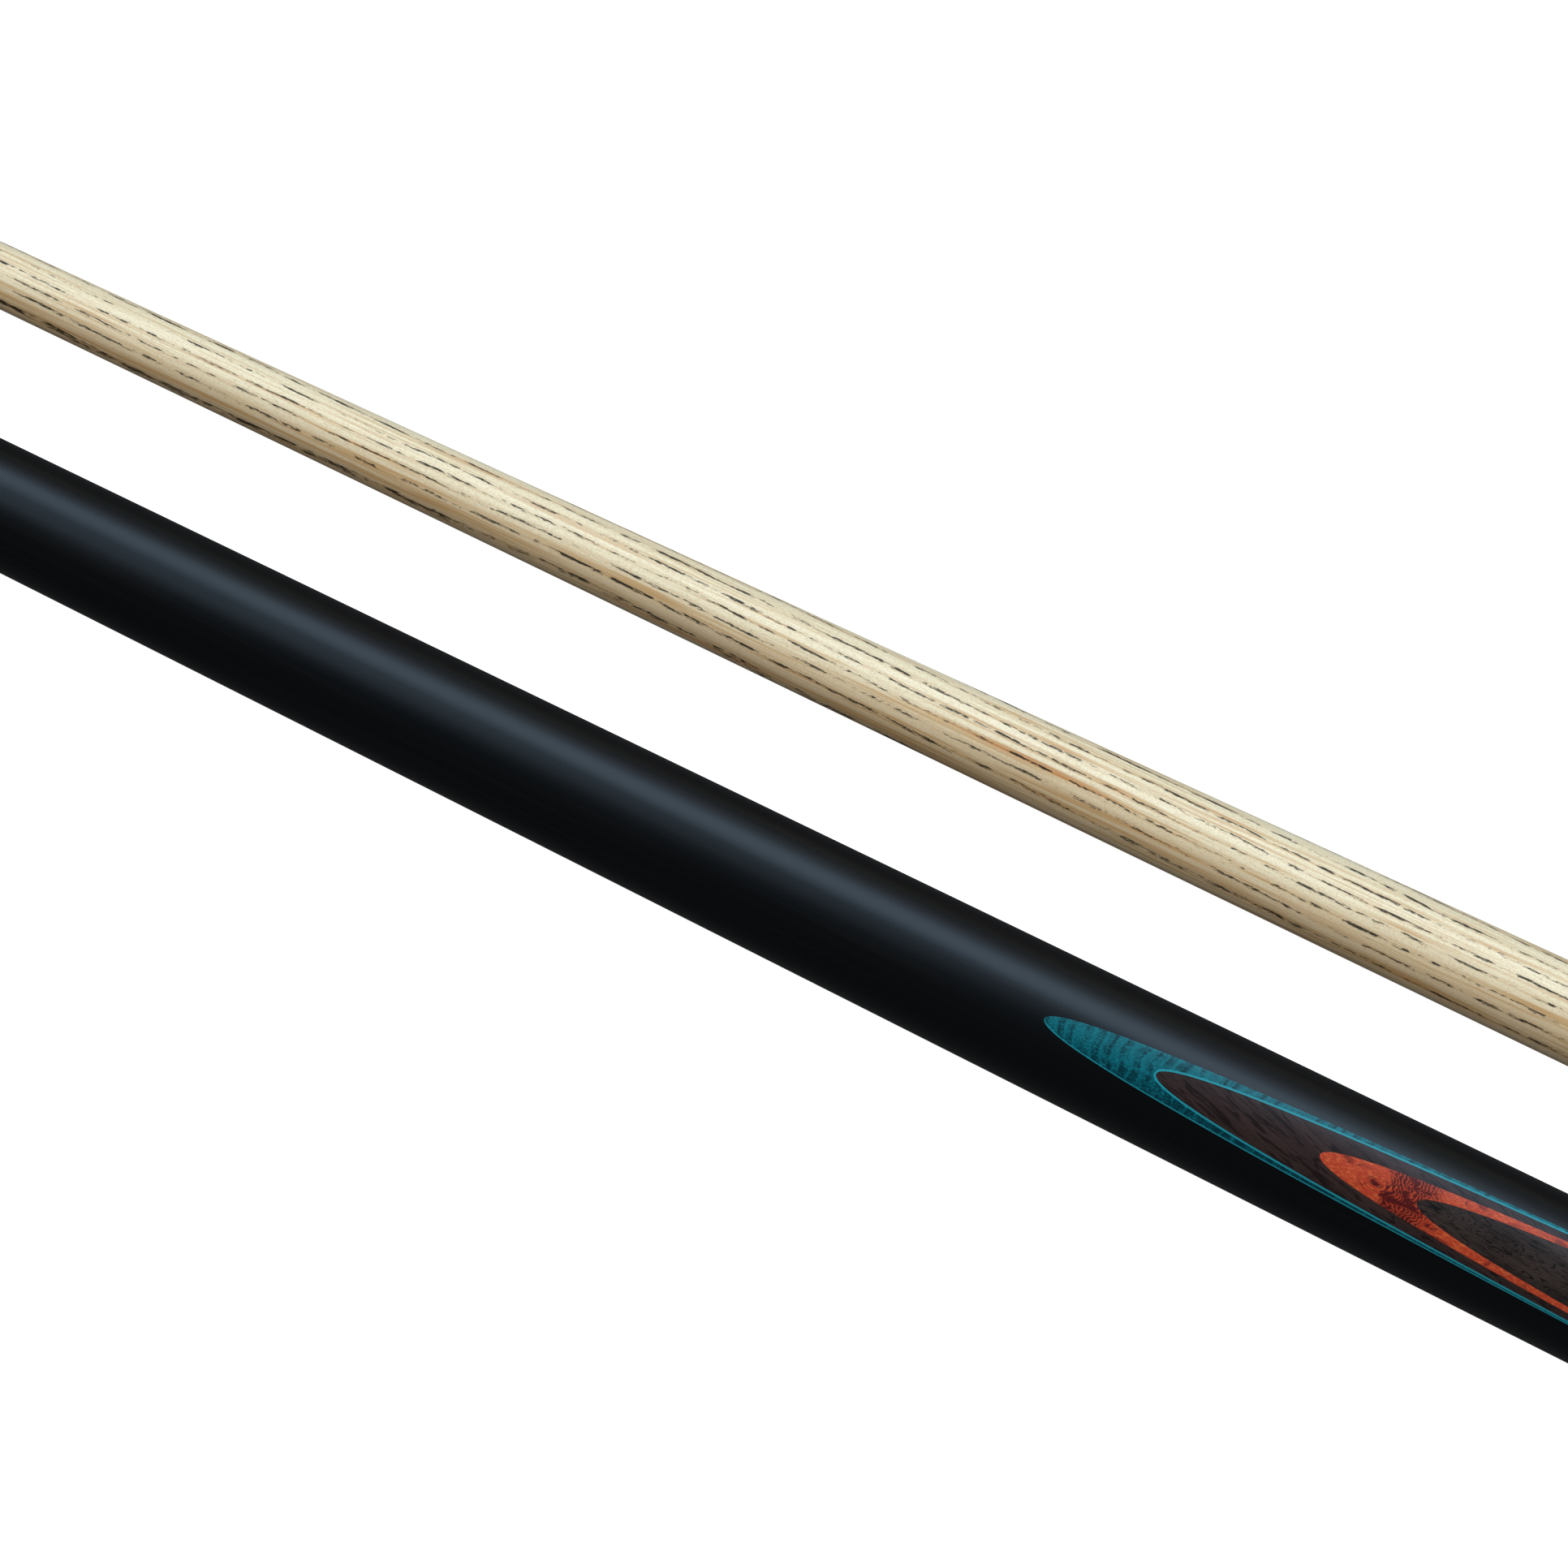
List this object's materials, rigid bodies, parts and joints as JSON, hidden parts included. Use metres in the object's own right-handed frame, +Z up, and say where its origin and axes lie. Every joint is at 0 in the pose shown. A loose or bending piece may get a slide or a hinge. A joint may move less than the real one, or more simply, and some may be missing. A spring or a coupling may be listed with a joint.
{
  "type": "pool cue",
  "caption": "Two-piece spliced ash and ebony pool cue, unscrewed, with its shaft lying beside its butt; steel joint pin, brass fittings and screw-in rubber bumper.",
  "frame": {"origin": "middle of the footprint of the two halves as they lie side by side, on the table", "axes": "+X along the butt towards its bumper end, +Y towards the shaft, +Z up from the table"},
  "size_m": [0.7928, 0.0692, 0.0295],
  "materials": {
    "ash": "oiled open-grained ash, satin",
    "ebony": "oiled ebony, satin",
    "teal_burr": "dyed burr veneer, satin",
    "dark_wood": "brown-black hardwood, satin",
    "orange_burr": "dyed burr veneer, satin",
    "heart_wood": "dark brown hardwood, satin",
    "brass": "turned and polished",
    "steel": "satin turned steel",
    "weight_steel": "plain turned steel",
    "rubber": "moulded black rubber",
    "leather": "chalked laminated leather",
    "fibre": "vulcanised fibre washer"
  },
  "bodies": {
    "butt": {"joint_pin": "steel", "butt_collar": "brass", "ash_core": "ash", "ebony_top": "ebony", "ebony_bottom": "ebony", "ebony_left": "ebony", "ebony_right": "ebony", "splice_teal": "teal_burr", "splice_dark": "dark_wood", "splice_orange": "orange_burr", "splice_heart": "heart_wood", "balance_weight": "weight_steel", "extension_socket": "brass", "butt_plate": "brass"},
    "shaft": {"leather_tip": "leather", "tip_ferrule": "brass", "shaft_wood": "ash", "shaft_insert": "brass", "shaft_collar": "brass"},
    "washer": {"bumper_washer": "fibre"},
    "bumper": {"rubber_bumper": "rubber", "bumper_stud": "steel"}
  },
  "joints": [
    {"name": "shaft_draw", "type": "slide", "parent": "butt", "child": "shaft", "axis": [-0.9998, -0.0182, 0], "range_m": [0, 0.7]},
    {"name": "bumper_unscrew", "type": "slide", "parent": "butt", "child": "washer", "axis": [1, 0, 0.0075], "range_m": [0, 0.0135]},
    {"name": "bumper_turn", "type": "hinge", "parent": "washer", "child": "bumper", "pos_m": [0.39233, -0.01983, 0.01481], "axis": [1, 0, 0.0075], "range_deg": [0, 3240]}
  ],
  "couplings": [
    {"joint": "bumper_unscrew", "follows": "bumper_turn", "m_per_rad": 0.00023873}
  ]
}
